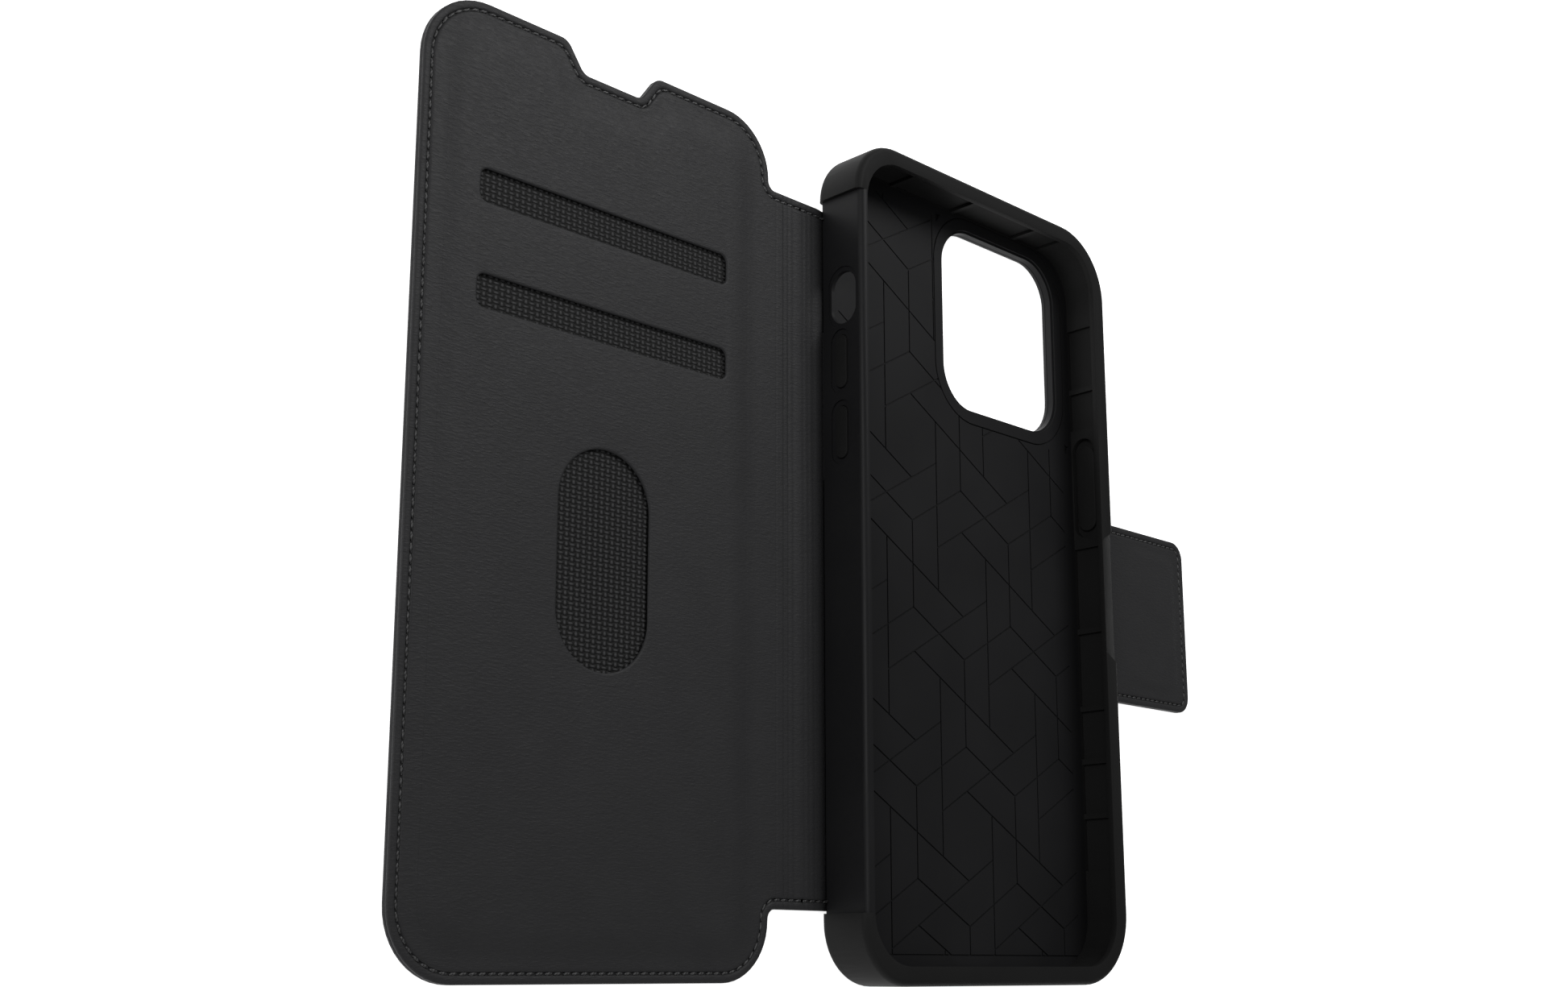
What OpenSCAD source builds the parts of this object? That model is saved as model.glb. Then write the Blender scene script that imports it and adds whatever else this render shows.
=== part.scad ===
// Folio phone case: a bumper tray for a 6.7 inch phone, with a stitched
// wallet cover on its left and a magnetic closing strap on its right.
// It lies open and flat on its back. Millimetres, +Z out of the phone side.
// The origin is the centre of the tray's back, on the surface it rests on.

/* [Phone tray] */
// width across the two soft corner caps
tray_w = 83; // [70:0.1:95]
// length from the bottom edge to the top edge
tray_l = 167.5; // [140:0.1:185]
// height of the rim's front face above the resting surface
tray_h = 11.8; // [9:0.1:15]
// radius of the tray's two outer corners on the folding side, seen from the front
tray_r_left = 11.8; // [8:0.1:16]
// radius of the tray's two outer corners on the strap side
tray_r_right = 14.8; // [8:0.1:18]
// radius that rounds the outer wall into the rim's front face
rim_round = 1.3; // [0.5:0.1:2]
// rounding of the bumper's lower outer edge
back_round = 1.6; // [0.5:0.1:1.9]
// height of the bumper's underside above the back
bumper_z = 0.2; // [0.1:0.1:0.6]
// thickness of the rim lip that holds the phone in
lip_t = 1.2; // [0.8:0.1:2]
// height of the floor that the phone lies on
floor_z = 2.85; // [2:0.05:4]
// left side of the phone space
seat_x0 = -39.5; // [-45:0.05:-35]
// right side of the phone space
seat_x1 = 38.95; // [35:0.05:45]
// half the length of the phone space
seat_half_l = 80.75; // [70:0.05:90]
// radius of the phone space's corners
seat_r = 11; // [6:0.5:16]
// left edge of the mouth in the rim
mouth_x0 = -38.9; // [-45:0.05:-35]
// right edge of the mouth in the rim
mouth_x1 = 37.05; // [33:0.05:45]
// half the length of the mouth in the rim
mouth_half_l = 80.05; // [70:0.05:90]
// outer face of the hard left wall, set back from the caps
wall_x = -40.6; // [-45:0.05:-38]
// lower end of the hard left wall
wall_y0 = -70.4; // [-80:0.1:-60]
// upper end of the hard left wall
wall_y1 = 71.9; // [60:0.1:80]

/* [Camera opening] */
// left and right edges of the camera opening
camera_x = [-5.1, 33.3]; // [-20:0.1:39]
// lower and upper edges of the camera opening
camera_y = [37.1, 77.6]; // [20:0.1:80]
// corner radius of the camera opening
camera_r = 9; // [4:0.5:14]
// width of the surround that frames the opening
surround_w = 3.3; // [1:0.1:6]

/* [Side openings and buttons] */
// lower and upper ends of the ring switch slot in the left wall
switch_y = [44.8, 55.7]; // [30:0.1:70]
// height range of the ring switch slot
switch_z = [3.1, 9.7]; // [2:0.1:11]
// lower and upper ends of the volume up key
vol_up_y = [31.4, 42.6]; // [20:0.1:50]
// lower and upper ends of the volume down key
vol_down_y = [17.0, 27.9]; // [5:0.1:40]
// height range of both volume keys
vol_z = [4.1, 7.4]; // [3:0.1:9]
// lower and upper ends of the power key
power_y = [16.9, 34.9]; // [5:0.1:50]
// height range of the power key
power_z = [4.6, 7.6]; // [3:0.1:9]
// gap all round a key in its hole
key_gap = 0.15; // [0.1:0.05:0.4]
// thickness of the flange that keeps a key in
key_flange_t = 0.3; // [0.2:0.05:0.8]

/* [Bottom openings] */
// width of the charging port opening
port_w = 14.5; // [10:0.5:20]
// height range of the charging port opening
port_z = [3.4, 9.7]; // [2:0.1:10]
// width of each speaker opening
speaker_w = 13; // [6:0.5:18]
// height range of the speaker openings
speaker_z = [5.0, 8.2]; // [3:0.1:9]
// distance of the speaker openings from the port's centre
speaker_x = 21; // [15:0.5:30]

/* [Inside ribs] */
// distance each rib stands out from the right wall
rib_depth = 0.9; // [0.3:0.1:1.4]
// thickness of each rib
rib_t = 1.2; // [0.6:0.1:2]
// positions of the ribs along the right wall
rib_y = [-60.3, -47.9, -36.0, -24.3, -6.9, 12.5, 39.0, 48.9, 64.2]; // [-80:0.1:80]
// positions of the ribs along the top wall
top_rib_x = [-21.5, -2.0, 19.2]; // [-40:0.1:40]

/* [Leather] */
// thickness of the outer leather
leather_t = 0.8; // [0.6:0.05:1.4]
// height of the inner face at the stitched border
inner_z = 1.6; // [1.2:0.05:2.4]
// height of the inner face over the board
panel_z = 2.2; // [1.6:0.05:3]
// thickness of the adhesive sheet behind the tray
adhesive_t = 0.15; // [0.05:0.05:0.3]
// gap left in the leather at each fold
fold_gap = 0.3; // [0.1:0.05:0.6]
// distance from the edge to the stitching
stitch_in = 1.5; // [1:0.1:3]
// width of the stitching line
thread_w = 0.4; // [0.2:0.05:0.8]

/* [Cover] */
// free left edge of the cover
cover_x0 = -136.9; // [-150:0.1:-120]
// right edge of the cover panel, where the spine begins
cover_x1 = -56.4; // [-70:0.1:-50]
// half the length of the cover
cover_half_l = 82.95; // [70:0.05:95]
// radius of the two bottom corners
cover_r_bottom = 12.2; // [5:0.1:18]
// radius of the two top corners
cover_r_top = 13.1; // [5:0.1:18]
// radius of the two corners beside the spine
cover_r_spine = 11.2; // [5:0.1:11.2]
// centre of the earpiece notch in the top edge
notch_x = -96.2; // [-110:0.1:-80]
// half the width of the notch's floor
notch_half_w = 6.7; // [4:0.1:15]
// width of each curved side of the notch
notch_side = 3.9; // [1:0.1:8]
// depth of the notch
notch_depth = 5.5; // [2:0.1:8]
// distance from the edge to the inner board
board_in = 5.2; // [3:0.1:8]

/* [Card pockets] */
// left and right ends of the two card slots
slot_x = [-125.0, -68.2]; // [-130:0.1:-60]
// lower and upper edges of the upper card slot
slot_hi_y = [46.3, 52.3]; // [20:0.1:70]
// lower and upper edges of the lower card slot
slot_lo_y = [27.5, 33.5]; // [0:0.1:60]
// left and right sides of the thumb window
window_x = [-106.8, -86.5]; // [-120:0.1:-70]
// lower and upper ends of the thumb window
window_y = [-31.2, 8.1]; // [-60:0.1:40]
// lower end of the card pocket behind the liner
pocket_y0 = -41; // [-70:0.5:-20]
// upper end of the card pocket behind the liner
pocket_y1 = 55; // [30:0.5:70]

/* [Folds] */
// line where the spine folds against the tray
fold_a_x = -40.9; // [-50:0.05:-35]
// line where the cover folds on the spine
fold_b_x = -54.2; // [-65:0.05:-45]
// line where the strap folds up the tray's right wall
fold_c_x = 42.3; // [40:0.05:50]
// line where the strap's tab folds over the cover
fold_d_x = 58.2; // [50:0.05:70]
// half the length of the spine
spine_half_l = 69.9; // [60:0.1:75]
// radius of the inside corners between the spine and the cover
spine_fillet = 1.8; // [1:0.1:4]

/* [Strap] */
// free end of the strap
strap_x1 = 84.6; // [70:0.1:95]
// half the width of the strap
strap_half_w = 20.8; // [12:0.1:30]
// corner radius of the strap's free end
strap_r = 4; // [2:0.5:8]
// distance from the strap's edge to its inner plate
plate_in = 4.6; // [3:0.1:8]
// diameter of each closing magnet
magnet_d = 8; // [4:0.5:12]
// place of the closing magnets along the strap
magnet_x = 67.3; // [62:0.1:78]
// spacing of the closing magnets
magnet_pitch = 11; // [9:0.5:14]
// length of the steel strip in the cover that the magnets hold to
keeper_l = 34; // [20:1:60]
// width of the steel strip in the cover
keeper_w = 5; // [3:0.5:8]

/* [Floor pattern] */
// distance between neighbouring upright lines
pattern_pitch = 7.84; // [5:0.01:14]
// sideways place of one unit of the pattern
pattern_x = -24.4; // [-40:0.1:0]
// lengthways place of one unit of the pattern
pattern_y = 4.8; // [-30:0.1:30]
// width of each moulded line
line_w = 0.3; // [0.2:0.05:0.6]
// depth of each moulded line
line_d = 0.25; // [0.1:0.05:0.6]

/* [Hidden] */
$fn = 64;
half_w = tray_w / 2;
half_l = tray_l / 2;
lip_z = tray_h - lip_t;
shell_z = leather_t + adhesive_t;
board_t = 0.5;
cloth_t = 0.15;
board_z = leather_t + board_t;
cloth_z = board_z + cloth_t;
pocket_z = cloth_z + 0.3;
edge = fold_gap / 2;
seat_mid_x = (seat_x0 + seat_x1) / 2;
pattern_step = 2 * pattern_pitch * tan(30);
keeper_x = fold_a_x + fold_b_x - fold_c_x + magnet_x - fold_d_x;

// ---------- shared shapes ----------

// a flat shape raised between two heights
module slab(z0, z1) {
    translate([0, 0, z0])
        linear_extrude(height = z1 - z0)
            children();
}

// a flat rectangle with round corners
module rounded_2d(x0, x1, y0, y1, r) {
    translate([x0 + r, y0])
        square([x1 - x0 - 2 * r, y1 - y0]);
    translate([x0, y0 + r])
        square([x1 - x0, y1 - y0 - 2 * r]);
    for (x = [x0 + r, x1 - r], y = [y0 + r, y1 - r])
        translate([x, y])
            circle(r = r);
}

// a slot with half-round ends that runs through a side wall
module side_slot(x0, x1, y, z) {
    r = (z[1] - z[0]) / 2;
    translate([x0, y[0] + r, z[0]])
        cube([x1 - x0, y[1] - y[0] - 2 * r, 2 * r]);
    for (end = [y[0] + r, y[1] - r])
        translate([x0, end, z[0] + r])
            rotate([0, 90, 0])
                cylinder(r = r, h = x1 - x0);
}

// a slot with half-round ends that runs through the bottom wall
module bottom_slot(y0, y1, x, w, z) {
    r = (z[1] - z[0]) / 2;
    translate([x - w / 2 + r, y0, z[0]])
        cube([w - 2 * r, y1 - y0, 2 * r]);
    for (end = [x - w / 2 + r, x + w / 2 - r])
        translate([end, y0, z[0] + r])
            rotate([-90, 0, 0])
                cylinder(r = r, h = y1 - y0);
}

// the phone space's outline, grown by a margin
module seat_2d(grow) {
    rounded_2d(seat_x0 - grow, seat_x1 + grow, -seat_half_l - grow, seat_half_l + grow, seat_r + grow);
}

// the mouth of the rim
module mouth_2d() {
    rounded_2d(mouth_x0, mouth_x1, -mouth_half_l, mouth_half_l, seat_r - 1);
}

// ---------- tray ----------

// the wall's section, from an inner line out to the tray's edge
module wall_section(inner, outer) {
    translate([inner, bumper_z])
        square([outer - back_round - inner, tray_h - bumper_z]);
    translate([inner, bumper_z + back_round])
        square([outer - inner, tray_h - bumper_z - back_round - rim_round]);
    translate([outer - back_round, bumper_z + back_round])
        circle(r = back_round);
    translate([outer - rim_round, tray_h - rim_round])
        circle(r = rim_round);
    translate([inner, tray_h - rim_round - 1])
        square([outer - rim_round - inner, rim_round + 1]);
}

// a block with round corners whose upper and lower edges are rounded all the way round
module soft_block() {
    for (side = [-1, 1]) {
        r = side < 0 ? tray_r_left : tray_r_right;
        translate([0, side * (half_l - r), 0])
            rotate([90, 0, side < 0 ? 180 : 0])
                linear_extrude(height = 2 * half_l - 2 * r)
                    wall_section(0, half_w);
        translate([side > 0 ? -half_w + tray_r_left : half_w - tray_r_right, 0, 0])
            rotate([90, 0, side * 90])
                linear_extrude(height = tray_w - tray_r_left - tray_r_right)
                    wall_section(0, half_l);
        for (y = [-1, 1])
            translate([side * (half_w - r), y * (half_l - r), 0])
                rotate_extrude()
                    wall_section(0, r);
    }
}

// the space between two ribs, cut into the inside of the right wall
module rib_pocket(y0, y1) {
    translate([seat_x1 - 0.5, y0 + rib_t / 2, floor_z])
        cube([rib_depth + 0.5, y1 - y0 - rib_t, lip_z - 0.4 - floor_z]);
}

// the sloping saddle in the rim where the strap passes
module strap_saddle() {
    intersection() {
        translate([0, 40, 0])
            rotate([90, 0, 0])
                linear_extrude(height = 80)
                    polygon([[mouth_x1 + 0.1, tray_h + 2], [mouth_x1 + 0.1, tray_h], [half_w + 1, tray_h - 1.3],
                        [half_w + 1, tray_h + 2]]);
        slab(lip_z - 1, tray_h + 2)
            polygon([[mouth_x1, -12.5], [half_w + 1, -15.8], [half_w + 1, 15.8], [mouth_x1, 12.5]]);
    }
}

// soft bumper: right, top and bottom walls, two corner caps and the rim lip
module bumper() {
    color([0.13, 0.13, 0.13])
        difference() {
            soft_block();
            slab(-1, lip_z)
                seat_2d(0);
            slab(lip_z - 1, tray_h + 1)
                mouth_2d();
            translate([-half_w - 1, wall_y0, -1])
                cube([half_w + 1 + mouth_x0, wall_y1 - wall_y0, tray_h + 2]);
            for (i = [0 : len(rib_y) - 2])
                if (i != 5)
                    rib_pocket(rib_y[i], rib_y[i + 1]);
            for (side = [-1, 1])
                translate([0, side * (seat_half_l - 0.5), floor_z])
                    for (i = [0 : len(top_rib_x)]) {
                        x0 = i == 0 ? -29 : top_rib_x[i - 1] + rib_t / 2;
                        x1 = i == len(top_rib_x) ? 28 : top_rib_x[i] - rib_t / 2;
                        if (side > 0)
                            translate([x0, 0, 0])
                                cube([x1 - x0, 1.2, lip_z - 0.4 - floor_z]);
                    }
            side_slot(seat_x1 - 0.5, seat_x1 + 1.35, power_y + [-2.5, 2.5], power_z + [-1.4, 1.4]);
            side_slot(seat_x1, half_w + 1, power_y, power_z);
            bottom_slot(-half_l - 1, -seat_half_l + 1, seat_mid_x, port_w, port_z);
            for (side = [-1, 1])
                bottom_slot(-half_l - 1, -seat_half_l + 1, seat_mid_x + side * speaker_x, speaker_w, speaker_z);
            strap_saddle();
        }
}

// one straight moulded line of the floor pattern
module line_cut(a, b) {
    run = b - a;
    translate([a[0], a[1], floor_z - line_d])
        rotate([0, 0, atan2(run[1], run[0])])
            translate([-0.4 * line_w, -line_w / 2, 0])
                cube([norm(run) + 0.8 * line_w, line_w, line_d + 1]);
}

// one unit of the isometric pattern, placed by its upper left point
module pattern_unit(p) {
    a = pattern_pitch;
    b = pattern_step;
    line_cut(p, p + [0, -4 * b]);
    line_cut(p + [-a, b / 2], p + [3 * a, -1.5 * b]);
    line_cut(p + [a, b / 2], p + [a, -1.5 * b]);
    line_cut(p + [a, -1.5 * b], p + [3 * a, -2.5 * b]);
    line_cut(p + [0, -3 * b], p + [4 * a, -b]);
    line_cut(p + [a, b / 2], p + [3 * a, 1.5 * b]);
}

// all the moulded lines, kept inside a plain border
module floor_pattern() {
    a = pattern_pitch;
    b = pattern_step;
    intersection() {
        union()
            for (col = [-2 : 3], row = [-3 : 4])
                if ((col + row) % 2 == 0)
                    pattern_unit([pattern_x + 2 * a * col, pattern_y + 3 * b * row]);
        difference() {
            slab(floor_z - line_d - 1, floor_z + 2)
                rounded_2d(seat_x0 + 1.4, seat_x1 - 3.4, -77.8, 78.5, 5);
            slab(floor_z - 3, floor_z + 3)
                rounded_2d(camera_x[0] - surround_w, half_w, camera_y[0] - surround_w, half_l,
                    camera_r + surround_w);
        }
    }
    line_cut([seat_x0 + 4, -77.8], [seat_x1 - 4, -77.8]);
}

// hard back panel with the moulded floor pattern and the left wall
module hard_shell() {
    color([0.19, 0.19, 0.19])
        difference() {
            union() {
                slab(shell_z, floor_z)
                    seat_2d(0);
                translate([wall_x, wall_y0, shell_z])
                    cube([seat_x0 - wall_x, wall_y1 - wall_y0, tray_h - rim_round - shell_z]);
                translate([wall_x + rim_round, wall_y0, lip_z])
                    cube([mouth_x0 - wall_x - rim_round, wall_y1 - wall_y0, lip_t]);
                intersection() {
                    translate([wall_x + rim_round, wall_y0, tray_h - rim_round])
                        rotate([-90, 0, 0])
                            cylinder(r = rim_round, h = wall_y1 - wall_y0);
                    translate([wall_x - 1, wall_y0, lip_z - 0.1])
                        cube([seat_x0 + 0.4 - wall_x + 1, wall_y1 - wall_y0, lip_t + 1]);
                }
            }
            camera_hole(surround_w);
            floor_pattern();
            side_slot(wall_x - 1, seat_x0 + 1, switch_y, switch_z);
            side_slot(wall_x - 1, wall_x + 0.25, switch_y + [-1, 1], [switch_z[0] - 0.6, switch_z[1] + 0.6]);
            for (y = [vol_up_y, vol_down_y]) {
                side_slot(wall_x - 1, seat_x0 + 1, y, vol_z);
                side_slot(wall_x - 1, wall_x + 0.3, y + [-1.1, 1.1], vol_z + [-1, 1]);
                side_slot(seat_x0 - 0.4, seat_x0 + 1, y + [-0.8, 0.8], vol_z + [-0.8, 0.8]);
            }
            for (corner = [[-7.4, 79.6], [36.4, 36.2]])
                translate([corner[0], corner[1], floor_z - 0.6])
                    linear_extrude(height = 2)
                        polygon([[0, 0], [1.6, -0.4], [0.2, -2.4]]);
        }
}

// the camera opening with an even margin round it
module camera_hole(margin) {
    slab(-1, tray_h)
        rounded_2d(camera_x[0] - margin, camera_x[1] + margin, camera_y[0] - margin, camera_y[1] + margin,
            camera_r + margin);
}

// frame round the camera opening, let into the hard back panel
module camera_surround() {
    color([0.17, 0.17, 0.17])
        intersection() {
            difference() {
                union() {
                    slab(shell_z, floor_z - 0.3)
                        rounded_2d(camera_x[0] - surround_w, camera_x[1] + surround_w,
                            camera_y[0] - surround_w, camera_y[1] + surround_w, camera_r + surround_w);
                    slab(floor_z - 0.3, floor_z)
                        rounded_2d(camera_x[0] - surround_w + 0.3, camera_x[1] + surround_w - 0.3,
                            camera_y[0] - surround_w + 0.3, camera_y[1] + surround_w - 0.3,
                            camera_r + surround_w - 0.3);
                }
                camera_hole(0);
                slab(floor_z - 0.5, floor_z + 1)
                    rounded_2d(camera_x[0] - 0.5, camera_x[1] + 0.5, camera_y[0] - 0.5, camera_y[1] + 0.5,
                        camera_r + 0.5);
            }
            slab(0, tray_h)
                seat_2d(0);
        }
}

// outer leather glued behind the tray, with the root of the strap
module back_leather() {
    color([0.22, 0.22, 0.22])
        difference() {
            union() {
                slab(0, leather_t)
                    seat_2d(0);
                translate([fold_a_x + edge, -spine_half_l, 0])
                    cube([seat_x0 + 5 - fold_a_x, 2 * spine_half_l, leather_t]);
                translate([30, -strap_half_w, 0])
                    cube([fold_c_x - edge - 30, 2 * strap_half_w, 0.2]);
            }
            camera_hole(0);
        }
}

// thin adhesive sheet between the leather and the hard back panel
module back_adhesive() {
    color([0.55, 0.55, 0.52])
        difference() {
            slab(leather_t, shell_z)
                rounded_2d(seat_x0 + 1, seat_x1 - 1, -seat_half_l + 1, seat_half_l - 1, seat_r - 1);
            camera_hole(1);
        }
}

// ---------- keys ----------

// a key with half-round ends and a flange behind it
module key(x_out, x_in, x_flange, y, z, flange) {
    side_slot(min(x_out, x_in), max(x_out, x_in), y + [key_gap, -key_gap], z + [key_gap, -key_gap]);
    side_slot(min(x_in, x_flange), max(x_in, x_flange), y + [-flange, flange], z + [-flange, flange]);
}

module volume_up_key() {
    color([0.16, 0.16, 0.16])
        key(wall_x - 0.05, seat_x0 - 0.35, seat_x0 - 0.35 + key_flange_t, vol_up_y, vol_z, 0.5);
}

module volume_down_key() {
    color([0.16, 0.16, 0.16])
        key(wall_x - 0.05, seat_x0 - 0.35, seat_x0 - 0.35 + key_flange_t, vol_down_y, vol_z, 0.5);
}

module power_key() {
    color([0.16, 0.16, 0.16])
        key(half_w + 0.2, seat_x1 + 1.3, seat_x1 + 0.6, power_y, power_z, 0.9);
}

// ---------- cover ----------

// the curved recess in the cover's top edge
module notch_2d(inset) {
    top = cover_half_l + 1;
    floor_y = cover_half_l - notch_depth - inset;
    half = notch_half_w + inset;
    side = [for (i = [0 : 8]) [half + notch_side * i / 8, floor_y + (notch_depth + inset) * (1 - cos(22.5 * i)) / 2]];
    left = [for (i = [8 : -1 : 0]) [-side[i][0], side[i][1]]];
    translate([notch_x, 0])
        polygon(concat(left, side, [[side[8][0] + 0.5, top], [-side[8][0] - 0.5, top]]));
}

// the cover panel, a set distance in from its edge
module panel_2d(inset) {
    x0 = cover_x0 + inset;
    x1 = cover_x1 - inset;
    half = cover_half_l - inset;
    rb = cover_r_bottom - inset;
    rt = cover_r_top - inset;
    rs = cover_r_spine - inset;
    difference() {
        union() {
            translate([x0 + rt, -half])
                square([x1 - x0 - rt - rs, 2 * half]);
            translate([x0, rt - half])
                square([x1 - x0, 2 * half - 2 * rt]);
            translate([x0, rb - half])
                square([rt, half]);
            translate([x0 + rb, rb - half])
                circle(r = rb);
            translate([x0 + rb, -half])
                square([rt, rb]);
            translate([x0 + rt, half - rt])
                circle(r = rt);
            translate([x1 - rt, rs - half])
                square([rt, rt]);
            translate([x1 - rt, half - rs - rt])
                square([rt, rt]);
            for (y = [rs - half, half - rs])
                translate([x1 - rs, y])
                    circle(r = rs);
        }
        notch_2d(inset);
    }
}

// the cover panel with the neck that runs to the fold
module cover_2d(inset) {
    panel_2d(inset);
    translate([cover_x1 - 12, -spine_half_l + inset])
        square([fold_b_x - edge - cover_x1 + 12, 2 * (spine_half_l - inset)]);
    for (side = [-1, 1])
        intersection() {
            difference() {
                translate([cover_x1 - inset, side > 0 ? spine_half_l - inset - 1 : -spine_half_l - spine_fillet])
                    square([spine_fillet + inset, spine_fillet + inset + 1]);
                translate([cover_x1 + spine_fillet, side * (spine_half_l + spine_fillet)])
                    circle(r = spine_fillet + inset);
            }
            translate([cover_x1 - 12, -cover_half_l])
                square([fold_b_x - edge - cover_x1 + 12, 2 * cover_half_l]);
        }
}

module cover_outer_leather() {
    color([0.23, 0.23, 0.23])
        slab(0, leather_t)
            cover_2d(0);
}

// stiffening board inside the cover
module cover_board() {
    color([0.45, 0.42, 0.38])
        difference() {
            slab(leather_t, board_z)
                panel_2d(board_in);
            translate([keeper_x - keeper_w / 2, -keeper_l / 2, 0])
                cube([keeper_w, keeper_l, 3]);
        }
}

// steel strip that the strap's magnets hold to
module cover_keeper_strip() {
    color([0.6, 0.6, 0.62])
        translate([keeper_x - keeper_w / 2, -keeper_l / 2, leather_t])
            cube([keeper_w, keeper_l, board_t]);
}

// outline of the card pocket behind the liner
module pocket_2d(inset) {
    rounded_2d(slot_x[0] - 1 + inset, slot_x[1] + 1 - inset, pocket_y0 + inset, pocket_y1 - inset, 2);
}

// woven lining at the back of the card pocket
module pocket_cloth() {
    color([0.2, 0.2, 0.2])
        slab(board_z, cloth_z)
            pocket_2d(0);
}

// smooth inner leather with two card slots and a thumb window
module cover_liner() {
    color([0.23, 0.23, 0.23])
        difference() {
            union() {
                slab(leather_t, inner_z)
                    cover_2d(0);
                slab(inner_z, panel_z)
                    panel_2d(board_in - 0.8);
            }
            slab(leather_t - 1, board_z)
                panel_2d(board_in);
            slab(board_z - 0.1, pocket_z)
                pocket_2d(0);
            for (y = [slot_hi_y, slot_lo_y])
                slab(board_z, panel_z + 1)
                    rounded_2d(slot_x[0], slot_x[1], y[0], y[1], 1.6);
            slab(board_z, panel_z + 1)
                window_2d();
            slab(inner_z - 0.15, inner_z + 1)
                stitch_2d();
        }
}

// thumb window with half-round ends
module window_2d() {
    r = (window_x[1] - window_x[0]) / 2;
    translate([window_x[0], window_y[0] + r])
        square([2 * r, window_y[1] - window_y[0] - 2 * r]);
    for (y = [window_y[0] + r, window_y[1] - r])
        translate([window_x[0] + r, y])
            circle(r = r);
}

// the line of stitching round the cover
module stitch_2d() {
    difference() {
        cover_2d(stitch_in);
        cover_2d(stitch_in + thread_w);
    }
}

module cover_stitching() {
    color([0.35, 0.35, 0.35])
        slab(inner_z - 0.15, inner_z + 0.06)
            stitch_2d();
}

// ---------- spine ----------

module spine_2d() {
    translate([fold_b_x + edge, -spine_half_l])
        square([fold_a_x - fold_b_x - 2 * edge, 2 * spine_half_l]);
}

module spine_stitch_2d() {
    for (side = [-1, 1])
        translate([fold_b_x + edge, side * (spine_half_l - stitch_in - thread_w / 2) - thread_w / 2])
            square([fold_a_x - fold_b_x - 2 * edge, thread_w]);
}

module spine_outer_leather() {
    color([0.22, 0.22, 0.22])
        slab(0, leather_t)
            spine_2d();
}

module spine_liner() {
    color([0.22, 0.22, 0.22])
        difference() {
            slab(leather_t, inner_z)
                spine_2d();
            slab(inner_z - 0.15, inner_z + 1)
                spine_stitch_2d();
        }
}

module spine_stitching() {
    color([0.33, 0.33, 0.33])
        slab(inner_z - 0.15, inner_z + 0.06)
            spine_stitch_2d();
}

// ---------- strap ----------

// the strap between two places along its length, its free end round
module strap_2d(x0, x1, inset, free_end) {
    if (free_end)
        intersection() {
            rounded_2d(x0 - 20, x1 - inset, -strap_half_w + inset, strap_half_w - inset, strap_r - inset);
            translate([x0, -strap_half_w])
                square([x1 - x0, 2 * strap_half_w]);
        }
    else
        translate([x0, -strap_half_w + inset])
            square([x1 - x0, 2 * (strap_half_w - inset)]);
}

// the line of stitching along a length of the strap
module strap_stitch_2d(x0, x1, free_end) {
    difference() {
        strap_2d(x0, x1, stitch_in, free_end);
        strap_2d(x0 - 1, x1 + (free_end ? 0 : 1), stitch_in + thread_w, free_end);
    }
}

module strap_side_leather() {
    color([0.24, 0.24, 0.24])
        slab(0, leather_t)
            strap_2d(fold_c_x + edge, fold_d_x - edge, 0, false);
}

module strap_side_liner() {
    color([0.24, 0.24, 0.24])
        difference() {
            slab(leather_t, inner_z)
                strap_2d(fold_c_x + edge, fold_d_x - edge, 0, false);
            slab(inner_z - 0.15, inner_z + 1)
                strap_stitch_2d(fold_c_x + edge, fold_d_x - edge, false);
        }
}

module strap_side_stitching() {
    color([0.35, 0.35, 0.35])
        slab(inner_z - 0.15, inner_z + 0.06)
            strap_stitch_2d(fold_c_x + edge, fold_d_x - edge, false);
}

module strap_tab_leather() {
    color([0.24, 0.24, 0.24])
        slab(0, leather_t)
            strap_2d(fold_d_x + edge, strap_x1, 0, true);
}

// outline of the stiff plate inside the tab
module plate_2d(inset) {
    rounded_2d(fold_d_x + 3 + inset, strap_x1 - plate_in - inset, -strap_half_w + plate_in + inset,
        strap_half_w - plate_in - inset, 2.5 - inset);
}

// the three round magnets, or the holes for them
module magnet_rounds(r, z0, z1) {
    for (y = [-magnet_pitch, 0, magnet_pitch])
        translate([magnet_x, y, z0])
            cylinder(r = r, h = z1 - z0);
}

module strap_tab_plate() {
    color([0.45, 0.42, 0.38])
        difference() {
            slab(leather_t, inner_z)
                plate_2d(0.1);
            magnet_rounds(magnet_d / 2, leather_t - 0.5, inner_z + 0.5);
        }
}

module strap_magnets() {
    color([0.62, 0.62, 0.64])
        magnet_rounds(magnet_d / 2, leather_t, inner_z);
}

module strap_tab_liner() {
    color([0.24, 0.24, 0.24])
        difference() {
            union() {
                slab(leather_t, inner_z)
                    strap_2d(fold_d_x + edge, strap_x1, 0, true);
                slab(inner_z, panel_z)
                    plate_2d(-0.7);
            }
            slab(leather_t - 1, inner_z)
                plate_2d(0);
            slab(inner_z - 0.15, inner_z + 0.3)
                strap_stitch_2d(fold_d_x + edge, strap_x1, true);
        }
}

module strap_tab_stitching() {
    color([0.35, 0.35, 0.35])
        slab(inner_z - 0.15, inner_z + 0.06)
            strap_stitch_2d(fold_d_x + edge, strap_x1, true);
}

// ---------- drawing ----------

back_leather();
back_adhesive();
hard_shell();
camera_surround();
bumper();
volume_up_key();
volume_down_key();
power_key();
spine_outer_leather();
spine_liner();
spine_stitching();
cover_outer_leather();
cover_board();
cover_keeper_strip();
pocket_cloth();
cover_liner();
cover_stitching();
strap_side_leather();
strap_side_liner();
strap_side_stitching();
strap_tab_leather();
strap_tab_plate();
strap_magnets();
strap_tab_liner();
strap_tab_stitching();
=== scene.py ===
import logging
import math
from dataclasses import dataclass, field
from enum import Enum
from typing import Callable, Iterable, Optional, Sequence

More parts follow.
